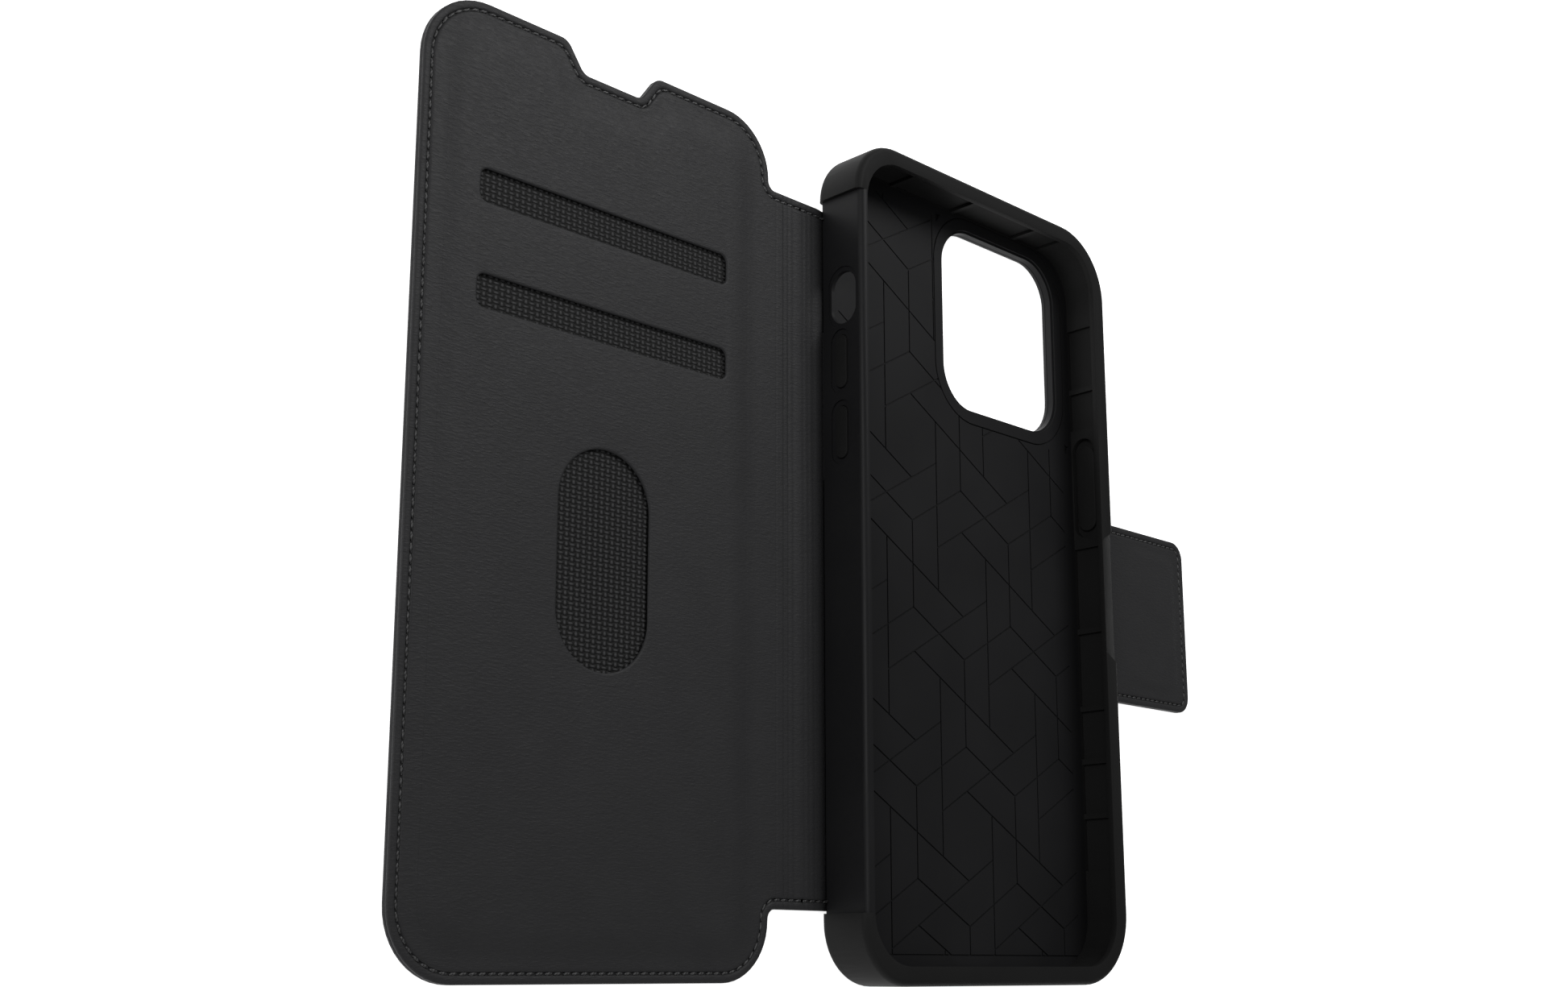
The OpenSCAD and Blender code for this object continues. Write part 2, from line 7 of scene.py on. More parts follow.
import bmesh
import bpy
from mathutils import Matrix, Vector


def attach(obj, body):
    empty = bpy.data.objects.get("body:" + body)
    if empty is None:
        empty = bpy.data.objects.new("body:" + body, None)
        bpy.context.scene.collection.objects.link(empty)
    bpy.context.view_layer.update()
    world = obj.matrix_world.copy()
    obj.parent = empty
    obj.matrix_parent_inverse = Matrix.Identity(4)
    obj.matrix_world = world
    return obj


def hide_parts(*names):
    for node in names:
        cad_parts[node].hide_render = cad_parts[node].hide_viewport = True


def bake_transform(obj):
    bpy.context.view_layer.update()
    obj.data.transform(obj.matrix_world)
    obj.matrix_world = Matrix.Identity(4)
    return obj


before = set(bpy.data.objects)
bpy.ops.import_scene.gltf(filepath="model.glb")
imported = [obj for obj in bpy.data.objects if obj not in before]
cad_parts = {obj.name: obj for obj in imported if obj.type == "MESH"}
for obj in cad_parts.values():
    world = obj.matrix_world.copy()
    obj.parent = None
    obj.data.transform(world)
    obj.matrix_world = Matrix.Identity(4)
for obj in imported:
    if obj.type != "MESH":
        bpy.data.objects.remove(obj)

LOG = logging.getLogger("folio_case")
MM = 0.001
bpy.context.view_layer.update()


# ---------------------------------------------------------------- materials


def linear(code: str) -> tuple[float, float, float, float]:
    """Turns an sRGB hex colour into linear RGBA.

    Args:
        code: Six hex digits, such as "1b1b1c".

    Returns:
        Linear red, green, blue and an alpha of one.
    """
    parts = [int(code[i:i + 2], 16) / 255 for i in (0, 2, 4)]
    low = [c / 12.92 if c <= 0.04045 else ((c + 0.055) / 1.055) ** 2.4 for c in parts]
    return (low[0], low[1], low[2], 1.0)


def put(tree: bpy.types.NodeTree, kind: str, links: Optional[dict] = None,
        **settings: object) -> bpy.types.Node:
    """Adds a node with its settings and links.

    Args:
        tree: The node tree that takes the node.
        kind: The node's type without the leading "ShaderNode".
        links: Socket name or index to a value, or to an output socket that feeds it.
        **settings: Properties of the node itself.

    Returns:
        The new node.
    """
    node = tree.nodes.new("ShaderNode" + kind)
    for key, value in settings.items():
        setattr(node, key, value)
    for key, value in (links or {}).items():
        socket = node.inputs[key]
        if isinstance(value, bpy.types.NodeSocket):
            tree.links.new(value, socket)
        else:
            socket.default_value = value
    return node


class Finish:
    """A procedural finish that is built once and then shared."""

    name: str = "finish"

    def shade(self, tree: bpy.types.NodeTree) -> bpy.types.Node:
        """Builds the shader nodes and returns the shader."""
        raise NotImplementedError

    def material(self) -> bpy.types.Material:
        """Returns the finish's material, and builds it on first use."""
        found = bpy.data.materials.get(self.name)
        if found:
            return found
        made = bpy.data.materials.new(self.name)
        made.use_nodes = True
        tree = made.node_tree
        tree.nodes.clear()
        shader = self.shade(tree)
        put(tree, "OutputMaterial", {"Surface": shader.outputs[0]})
        return made


@dataclass(frozen=True)
class CoatedLeather(Finish):
    """Split leather with a thin matte coat, pressed with a fine pebble grain.

    The eye gets small soft pebbles, a low sheen and slow changes of tone.
    """

    name: str = "coated_pebble_leather"
    dark: str = "272728"
    light: str = "2e2e2f"
    grain_mm: float = 0.75
    depth_mm: float = 0.085
    roughness: tuple[float, float] = (0.44, 0.6)
    gloss: float = 0.15

    def shade(self, tree: bpy.types.NodeTree) -> bpy.types.Node:
        """Builds wrinkled pebbles, pores and slow tone changes over a matte coat."""
        place = put(tree, "TexCoord").outputs["Object"]
        drawn = put(tree, "Mapping", {"Vector": place, "Scale": (0.5, 1.7, 1.0)}).outputs[0]
        wander = put(tree, "TexNoise", {"Vector": drawn, "Scale": 1 / (1.6 * MM), "Detail": 2.0})
        bent = put(tree, "MixRGB", {"Fac": 0.0005, "Color1": drawn, "Color2": wander.outputs["Color"]})
        pebble = put(tree, "TexVoronoi", {"Vector": bent.outputs[0], "Scale": 1 / (self.grain_mm * MM)},
                     feature="SMOOTH_F1")
        wrinkle = put(tree, "TexNoise", {"Vector": drawn, "Scale": 1 / (self.grain_mm * 1.8 * MM),
                                         "Detail": 3.0, "Roughness": 0.6, "Distortion": 1.2})
        tone = put(tree, "TexNoise", {"Vector": place, "Scale": 1 / (7 * MM), "Detail": 4.0,
                                      "Roughness": 0.6})
        grain = put(tree, "Math", {0: pebble.outputs["Distance"], 1: -0.5, 2: 0.5}, operation="MULTIPLY_ADD")
        height = put(tree, "Math", {0: wrinkle.outputs["Fac"], 1: 1.0, 2: grain.outputs[0]},
                     operation="MULTIPLY_ADD")
        bump = put(tree, "Bump", {"Strength": 0.8, "Distance": self.depth_mm * MM,
                                  "Height": height.outputs[0]})
        mix = put(tree, "MixRGB", {"Fac": tone.outputs["Fac"], "Color1": linear(self.dark),
                                   "Color2": linear(self.light)})
        rough = put(tree, "MapRange", {"Value": height.outputs[0], "From Min": 0.5, "From Max": 1.1,
                                       "To Min": self.roughness[1], "To Max": self.roughness[0]})
        return put(tree, "BsdfPrincipled", {"Base Color": mix.outputs[0], "Roughness": rough.outputs[0],
                                            "IOR": 1.46, "Specular IOR Level": self.gloss,
                                            "Normal": bump.outputs[0]})


@dataclass(frozen=True)
class PlainWeave(Finish):
    """Plain-weave polyester lining, drawn at 1.25 by 0.85 mm so that it shows.

    The eye gets a small basket of over-and-under threads, with painted shade in the gaps between them.
    """

    name: str = "plain_weave_lining"
    thread: str = "363637"
    # painted shade: near-black colour for the low places between threads
    gap_shade_colour: str = "010101"
    warp_mm: float = 1.25
    weft_mm: float = 0.85
    roughness: float = 0.7

    def shade(self, tree: bpy.types.NodeTree) -> bpy.types.Node:
        """Builds the two sets of threads, each over then under the other, and paints shade where the weave is
        low.
        """
        place = put(tree, "TexCoord").outputs["Object"]
        axes = put(tree, "SeparateXYZ", {0: place})
        turns = []
        for axis, pitch in (("X", self.warp_mm), ("Y", self.weft_mm)):
            phase = put(tree, "Math", {0: axes.outputs[axis], 1: math.pi / (pitch * MM)},
                        operation="MULTIPLY")
            turns.append(put(tree, "Math", {0: phase.outputs[0]}, operation="SINE"))
        crowns = [put(tree, "Math", {0: turn.outputs[0]}, operation="ABSOLUTE") for turn in turns]
        weave = put(tree, "Math", {0: turns[0].outputs[0], 1: turns[1].outputs[0]}, operation="MULTIPLY")
        over = put(tree, "Math", {0: weave.outputs[0], 1: 0.5, 2: 0.5}, operation="MULTIPLY_ADD")
        under = put(tree, "Math", {0: 1.0, 1: over.outputs[0]}, operation="SUBTRACT")
        warp = put(tree, "Math", {0: crowns[0].outputs[0], 1: over.outputs[0]}, operation="MULTIPLY")
        weft = put(tree, "Math", {0: crowns[1].outputs[0], 1: under.outputs[0]}, operation="MULTIPLY")
        height = put(tree, "Math", {0: warp.outputs[0], 1: weft.outputs[0]}, operation="MAXIMUM")
        fibre = put(tree, "TexNoise", {"Vector": place, "Scale": 1 / (0.18 * MM), "Detail": 2.0})
        rough_height = put(tree, "Math", {0: fibre.outputs["Fac"], 1: 0.15, 2: height.outputs[0]},
                           operation="MULTIPLY_ADD")
        bump = put(tree, "Bump", {"Strength": 1.0, "Distance": 0.22 * MM, "Height": rough_height.outputs[0]})
        # painted shade: the colour runs to near black where the weave is low, between the threads
        gap_shade_mask = put(tree, "MapRange", {"Value": height.outputs[0], "From Min": 0.5, "From Max": 0.9})
        mix = put(tree, "MixRGB", {"Fac": gap_shade_mask.outputs[0], "Color1": linear(self.gap_shade_colour),
                                   "Color2": linear(self.thread)})
        return put(tree, "BsdfPrincipled", {"Base Color": mix.outputs[0], "Roughness": self.roughness,
                                            "Specular IOR Level": 0.25, "Normal": bump.outputs[0]})


@dataclass(frozen=True)
class Moulded(Finish):
    """Injection-moulded plastic or elastomer with a fine spark-eroded texture.

    The eye gets an even satin black whose highlights are softly broken up.
    """

    name: str = "moulded_polycarbonate"
    dark: str = "171718"
    light: str = "1d1d1e"
    texture_mm: float = 0.25
    depth_mm: float = 0.012
    roughness: tuple[float, float] = (0.4, 0.48)
    gloss: float = 0.1

    def shade(self, tree: bpy.types.NodeTree) -> bpy.types.Node:
        """Builds the fine texture and a slow drift in gloss and tone."""
        place = put(tree, "TexCoord").outputs["Object"]
        grit = put(tree, "TexNoise", {"Vector": place, "Scale": 1 / (self.texture_mm * MM), "Detail": 4.0})
        drift = put(tree, "TexNoise", {"Vector": place, "Scale": 1 / (18 * MM), "Detail": 2.0})
        bump = put(tree, "Bump", {"Strength": 0.8, "Distance": self.depth_mm * MM,
                                  "Height": grit.outputs["Fac"]})
        mix = put(tree, "MixRGB", {"Fac": drift.outputs["Fac"], "Color1": linear(self.dark),
                                   "Color2": linear(self.light)})
        rough = put(tree, "MapRange", {"Value": drift.outputs["Fac"], "From Min": 0.3, "From Max": 0.7,
                                       "To Min": self.roughness[0], "To Max": self.roughness[1]})
        return put(tree, "BsdfPrincipled", {"Base Color": mix.outputs[0], "Roughness": rough.outputs[0],
                                            "Specular IOR Level": self.gloss, "Normal": bump.outputs[0]})


@dataclass(frozen=True)
class WaxedThread(Finish):
    """Bonded polyester sewing thread, three plies twisted and waxed.

    The eye gets fine slanting plies with a faint wax gloss, and painted shade in the grooves between plies.
    """

    name: str = "waxed_polyester_thread"
    # painted shade: the dark colour fills the grooves between plies
    dark: str = "161616"
    light: str = "3a3a3b"
    ply_mm: float = 0.28

    def shade(self, tree: bpy.types.NodeTree) -> bpy.types.Node:
        """Builds slanting plies from bands that run across the thread, and paints shade into the grooves."""
        place = put(tree, "TexCoord").outputs["Object"]
        turned = put(tree, "Mapping", {"Vector": place, "Rotation": (0.0, 0.0, math.radians(38))})
        plies = put(tree, "TexWave", {"Vector": turned.outputs[0],
                                      "Scale": 0.5 / (self.ply_mm * MM) / math.pi,
                                      "Distortion": 1.5})
        bump = put(tree, "Bump", {"Strength": 0.7, "Distance": 0.06 * MM, "Height": plies.outputs["Fac"]})
        # painted shade: colour follows the ply bands, darkest in the grooves between plies
        mix = put(tree, "MixRGB", {"Fac": plies.outputs["Fac"], "Color1": linear(self.dark),
                                   "Color2": linear(self.light)})
        return put(tree, "BsdfPrincipled", {"Base Color": mix.outputs[0], "Roughness": 0.5,
                                            "Normal": bump.outputs[0]})


@dataclass(frozen=True)
class PressedBoard(Finish):
    """Grey pressed fibre board that stiffens the cover.

    The eye gets a dull flecked surface, seen only where layers part.
    """

    name: str = "pressed_fibre_board"
    dark: str = "3a352e"
    light: str = "5c554b"

    def shade(self, tree: bpy.types.NodeTree) -> bpy.types.Node:
        """Builds short fibres over a dull ground."""
        place = put(tree, "TexCoord").outputs["Object"]
        fleck = put(tree, "TexNoise", {"Vector": place, "Scale": 1 / (0.6 * MM), "Detail": 6.0,
                                       "Roughness": 0.7})
        bump = put(tree, "Bump", {"Strength": 0.6, "Distance": 0.04 * MM, "Height": fleck.outputs["Fac"]})
        mix = put(tree, "MixRGB", {"Fac": fleck.outputs["Fac"], "Color1": linear(self.dark),
                                   "Color2": linear(self.light)})
        return put(tree, "BsdfPrincipled", {"Base Color": mix.outputs[0], "Roughness": 0.85,
                                            "Normal": bump.outputs[0]})


@dataclass(frozen=True)
class RolledMetal(Finish):
    """Thin rolled steel strip, or a nickel-plated magnet.

    The eye gets a grey metal with faint rolling lines.
    """

    name: str = "rolled_steel"
    colour: str = "a9a9ac"
    roughness: tuple[float, float] = (0.25, 0.42)

    def shade(self, tree: bpy.types.NodeTree) -> bpy.types.Node:
        """Builds faint lines along the rolling direction."""
        place = put(tree, "TexCoord").outputs["Object"]
        drawn = put(tree, "Mapping", {"Vector": place, "Scale": (1.0, 0.03, 1.0)})
        lines = put(tree, "TexNoise", {"Vector": drawn.outputs[0], "Scale": 1 / (0.12 * MM), "Detail": 3.0})
        rough = put(tree, "MapRange", {"Value": lines.outputs["Fac"], "To Min": self.roughness[0],
                                       "To Max": self.roughness[1]})
        bump = put(tree, "Bump", {"Strength": 0.3, "Distance": 0.01 * MM, "Height": lines.outputs["Fac"]})
        return put(tree, "BsdfPrincipled", {"Base Color": linear(self.colour), "Metallic": 1.0,
                                            "Roughness": rough.outputs[0], "Normal": bump.outputs[0]})


@dataclass(frozen=True)
class PaperFloor(Finish):
    """Seamless white studio paper, lit so that it keeps no edge.

    The eye gets a plain white ground with a little tooth.
    """

    name: str = "white_studio_paper"
    colour: str = "f7f7f7"
    glow: float = 0.85

    def shade(self, tree: bpy.types.NodeTree) -> bpy.types.Node:
        """Builds the paper's faint tooth and its even glow."""
        place = put(tree, "TexCoord").outputs["Object"]
        tooth = put(tree, "TexNoise", {"Vector": place, "Scale": 1 / (2 * MM), "Detail": 2.0})
        bump = put(tree, "Bump", {"Strength": 0.05, "Distance": 0.02 * MM, "Height": tooth.outputs["Fac"]})
        return put(tree, "BsdfPrincipled", {"Base Color": linear(self.colour), "Roughness": 0.95,
                                            "Specular IOR Level": 0.1, "Emission Color": linear("ffffff"),
                                            "Emission Strength": self.glow, "Normal": bump.outputs[0]})


OUTER_LEATHER = CoatedLeather()
INNER_LEATHER = CoatedLeather(name="smooth_coated_leather", dark="272728", light="2d2d2e", grain_mm=0.55,
                              depth_mm=0.11)
LINING = PlainWeave()
POLYCARBONATE = Moulded()
ELASTOMER = Moulded(name="moulded_soft_elastomer", dark="191919", light="1f1f1f", texture_mm=0.3,
                    depth_mm=0.018, roughness=(0.54, 0.62), gloss=0.06)
THREAD = WaxedThread()
BOARD = PressedBoard()
STEEL = RolledMetal()
NICKEL = RolledMetal(name="nickel_plate", colour="b9b6ac", roughness=(0.15, 0.3))
BOND = Moulded(name="bonding_film", dark="55534d", light="64625b", roughness=(0.6, 0.7))
PAPER = PaperFloor()


# ---------------------------------------------------------------- shaping


@dataclass(frozen=True)
class Corner:
    """One corner of a flat outline, in millimetres, with its rounding."""

    x: float
    y: float
    r: float = 0.0
    segments: int = 8


Outline = Callable[[float], list[Corner]]
Ring = list[bmesh.types.BMVert]


def trace(corners: Sequence[Corner]) -> list[Vector]:
    """Rounds an outline's corners and returns its points in order.

    Args:
        corners: The outline's corners in order, in millimetres.

    Returns:
        The points of the rounded outline, in metres, at height zero.
    """
    flat = bmesh.new()
    verts = [flat.verts.new((c.x * MM, c.y * MM, 0)) for c in corners]
    flat.faces.new(verts)
    for corner, vert in zip(corners, verts):
        if corner.r > 0.02:
            bmesh.ops.bevel(flat, geom=[vert], offset=corner.r * MM, offset_type="OFFSET",
                            segments=corner.segments, profile=0.5, affect="VERTICES", material=-1)
    flat.faces.ensure_lookup_table()
    points = [loop.vert.co.copy() for loop in flat.faces[0].loops]
    flat.free()
    return points


class Skin:
    """A closed layer that is built up from rings at chosen heights."""

    def __init__(self) -> None:
        """Starts an empty layer."""
        self.bm = bmesh.new()

    def edges(self, ring: Ring) -> list[bmesh.types.BMEdge]:
        """Returns a ring's edges in order."""
        return [self.bm.edges.get((ring[i - 1], ring[i])) for i in range(len(ring))]

    def ring(self, corners: Sequence[Corner], z: float) -> Ring:
        """Adds one closed ring of edges.

        Args:
            corners: The ring's corners in order, in millimetres.
            z: The ring's height in millimetres.

        Returns:
            The ring's points in order.
        """
        ring = [self.bm.verts.new((p.x, p.y, z * MM)) for p in trace(corners)]
        for i in range(len(ring)):
            self.bm.edges.new((ring[i - 1], ring[i]))
        return ring

    def raise_ring(self, ring: Ring, corners: Sequence[Corner], z: float) -> Ring:
        """Extrudes a ring to a new outline and height.

        Args:
            ring: The ring that is extruded.
            corners: The new outline's corners, in the same order.
            z: The new height in millimetres.

        Returns:
            The new ring's points in order.
        """
        made = bmesh.ops.extrude_edge_only(self.bm, edges=self.edges(ring))["geom"]
        fresh = {item for item in made if isinstance(item, bmesh.types.BMVert)}
        result: Ring = []
        for old, point in zip(ring, trace(corners)):
            new = next(e.other_vert(old) for e in old.link_edges if e.other_vert(old) in fresh)
            new.co = (point.x, point.y, z * MM)
            result.append(new)
        return result

    def rise(self, outline: Outline, levels: Sequence[tuple[float, float]]) -> list[Ring]:
        """Adds joined rings of one outline.

        Args:
            outline: Gives the corners at a distance in from the edge.
            levels: Pairs of distance in from the edge and height, in millimetres.

        Returns:
            The rings in order.
        """
        rings = [self.ring(outline(levels[0][0]), levels[0][1])]
        for inset, z in levels[1:]:
            rings.append(self.raise_ring(rings[-1], outline(inset), z))
        return rings

    def fill(self, *rings: Ring) -> None:
        """Closes the flat area that lies between one outer ring and any inner ones."""
        edges = [edge for ring in rings for edge in self.edges(ring)]
        bmesh.ops.triangle_fill(self.bm, use_beauty=True, edges=edges, normal=(0, 0, 1))

    def slice(self, places: Iterable[float], axis: str = "x") -> None:
        """Cuts the layer along planes, so that it can bend or be shaped there.

        Args:
            places: Where to cut, in millimetres.
            axis: "x" or "y", the axis that the planes cross.
        """
        normal = Vector((1, 0, 0)) if axis == "x" else Vector((0, 1, 0))
        for place in places:
            everything = self.bm.verts[:] + self.bm.edges[:] + self.bm.faces[:]
            bmesh.ops.bisect_plane(self.bm, geom=everything, dist=1e-7, plane_co=normal * place * MM,
                                   plane_no=normal)

    def crease(self, places: Iterable[float], top: float, depth: float) -> None:
        """Presses fine lines into the top face.

        Args:
            places: Where the lines run, in millimetres along X.
            top: Height of the top face in millimetres.
            depth: Depth of a line in millimetres.
        """
        for place in places:
            self.slice([place - 0.35, place, place + 0.35])
            for vert in self.bm.verts:
                if abs(vert.co.x - place * MM) < 1e-6 and abs(vert.co.z - top * MM) < 0.1 * MM:
                    vert.co.z -= depth * MM

    def press(self, x: tuple[float, float], y: tuple[float, float], top: float, depth: float) -> None:
        """Presses a shallow soft-edged rectangle into the top face.

        Args:
            x: The rectangle's sides in millimetres.
            y: The rectangle's ends in millimetres.
            top: Height of the top face in millimetres.
            depth: Depth of the mark in millimetres.
        """
        self.slice([x[0] - 0.6, x[0], x[1], x[1] + 0.6])
        self.slice([y[0] - 0.8, y[0], y[1], y[1] + 0.8], "y")
        for vert in self.bm.verts:
            inside = x[0] - 1e-3 < vert.co.x / MM < x[1] + 1e-3 and y[0] - 1e-3 < vert.co.y / MM < y[1] + 1e-3
            if inside and abs(vert.co.z - top * MM) < 0.15 * MM:
                vert.co.z -= depth * MM

    def finish(self, name: str, finish: Finish, sharp: float = 50) -> bpy.types.Object:
        """Closes the layer and makes it an object.

        Args:
            name: The piece's name.
            finish: What it is made of.
            sharp: Edges that turn more than this many degrees stay sharp.

        Returns:
            The new object.
        """
        bmesh.ops.remove_doubles(self.bm, verts=self.bm.verts[:], dist=1e-6)
        bmesh.ops.recalc_face_normals(self.bm, faces=self.bm.faces[:])
        for face in self.bm.faces:
            face.smooth = True
        mesh = bpy.data.meshes.new(name)
        self.bm.to_mesh(mesh)
        self.bm.free()
        mesh.set_sharp_from_angle(angle=math.radians(sharp))
        return make(name, mesh, finish)


def make(name: str, mesh: bpy.types.Mesh, finish: Finish) -> bpy.types.Object:
    """Links a mesh as a piece and gives it its finish."""
    mesh.materials.clear()
    mesh.materials.append(finish.material())
    piece = bpy.data.objects.new(name, mesh)
    bpy.context.scene.collection.objects.link(piece)
    LOG.info("%s: %d faces", name, len(mesh.polygons))
    return piece


def softened(node: str, name: str, finish: Finish, width_mm: float, angle: float = 34) -> bpy.types.Object:
    """Copies a CAD node and rounds its edges a little.

    Args:
        node: The CAD node to copy.
        name: The new piece's name.
        finish: What it is made of.
        width_mm: Width of the rounding.
        angle: Edges that turn less than this many degrees are left alone.

    Returns:
        The new object, which stands for the node.
    """
    bm = bmesh.new()
    bm.from_mesh(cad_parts[node].data)
    bmesh.ops.remove_doubles(bm, verts=bm.verts[:], dist=2e-6)
    bmesh.ops.dissolve_limit(bm, angle_limit=math.radians(0.6), verts=bm.verts[:], edges=bm.edges[:],
                             delimit={"NORMAL"})
    for face in bm.faces:
        face.smooth = True
    mesh = bpy.data.meshes.new(name)
    bm.to_mesh(mesh)
    bm.free()
    piece = make(name, mesh, finish)
    bevel = piece.modifiers.new("edges", "BEVEL")
    bevel.width = width_mm * MM
    bevel.segments = 3
    bevel.limit_method = "ANGLE"
    bevel.angle_limit = math.radians(angle)
    bevel.harden_normals = True
    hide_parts(node)
    return piece


def stitch_run(name: str, path: Sequence[Vector], z: float, closed: bool = False, pitch_mm: float = 1.85,
               keep: Optional[Callable[[Vector], bool]] = None) -> bpy.types.Object:
    """Lays a row of stitches along a path.

    Args:
        name: The piece's name.
        path: Points along the seam, in metres.
        z: Height of the stitches' middle in millimetres.
        closed: True when the path's last point joins its first.
        pitch_mm: Length of one stitch.
        keep: Says whether a stitch at a point is wanted.

    Returns:
        One object that holds every stitch of the row.
    """
    points = list(path) + ([path[0]] if closed else [])
    lengths = [(b - a).length for a, b in zip(points, points[1:])]
    total = sum(lengths)
    count = max(1, round(total / (pitch_mm * MM)))
    bm = bmesh.new()
    for i in range(count):
        at = (i + 0.5) * total / count
        for (a, b), length in zip(zip(points, points[1:]), lengths):
            if at <= length:
                break
            at -= length
        along = (b - a).normalized()
        centre = a + along * at
        if keep and not keep(centre):
            continue
        slant = (Matrix.Rotation(math.radians(STITCH_TWIST), 4, "Z")
                 @ Matrix.Rotation(math.radians(STITCH_TILT), 4, "Y"))
        turn = Matrix.Rotation(math.atan2(along.y, along.x), 4, "Z")
        size = Matrix.Diagonal((*(half * MM for half in STITCH_HALF_SIZE), 1))
        place = Matrix.Translation((centre.x, centre.y, z * MM))
        bmesh.ops.create_uvsphere(bm, u_segments=8, v_segments=6, radius=1,
                                  matrix=place @ turn @ slant @ size @ Matrix.Rotation(math.pi / 2, 4, "Y"))
    for face in bm.faces:
        face.smooth = True
    mesh = bpy.data.meshes.new(name)
    bm.to_mesh(mesh)
    bm.free()
    return make(name, mesh, THREAD)


# ---------------------------------------------------------------- folds


@dataclass(frozen=True)
class Fold:
    """A line in the leather where one body turns on another."""

    left: str
    right: str
    x: float
    reach_left: float = 2.6
    reach_right: float = 2.6

    def cuts(self) -> list[float]:
        """Returns where the leather is divided so that it bends smoothly."""
        low, high, steps = self.x - self.reach_left, self.x + self.reach_right, 12
        return [low + (high - low) * i / steps for i in range(steps + 1)]

    def bend(self, piece: bpy.types.Object) -> None:
        """Bakes the piece's placement into its mesh."""
        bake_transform(piece)


COVER_FOLD = Fold("cover", "spine", -54.2)
SPINE_FOLD = Fold("spine", "tray", -40.9, 2.9, 0.25)
STRAP_FOLD = Fold("tray", "strap_side", 42.3, 0.4, 2.9)
TAB_FOLD = Fold("strap_side", "strap_tab", 58.2)
SPINE_SEAM = -47.6
STRAP_SEAM = 50.0

STITCH_Z = 1.36
STITCH_IN = 1.7
STITCH_HALF_SIZE = (0.8, 0.27, 0.2)
STITCH_TWIST, STITCH_TILT = 7, 4
LINER_TOP = 1.6
CREASE_DEPTH = 0.07
PRESS_Y, PRESS_DEPTH = (14.4, 43.7), 0.06

EDGE_LEVELS = [(0.3, 0.0), (0.12, 0.04), (0.0, 0.2), (0.0, 0.62), (0.1, 0.79), (0.22, 0.84)]
LINER_LOW = [(0.22, 0.85), (0.06, 0.9), (0.0, 1.02), (0.0, 1.28), (0.05, 1.42), (0.18, 1.53), (0.42, 1.585),
             (0.8, 1.6), (1.2, 1.57), (1.4, 1.47), (1.5, 1.2), (1.9, 1.2), (2.0, 1.47), (2.2, 1.57),
             (2.5, 1.6), (2.8, 1.6)]
RISE_LEVELS = [(3.3, 1.6), (4.0, 1.62), (4.9, 1.69), (5.8, 1.83), (6.8, 1.99), (7.6, 2.1), (8.4, 2.17),
               (9.3, 2.2)]


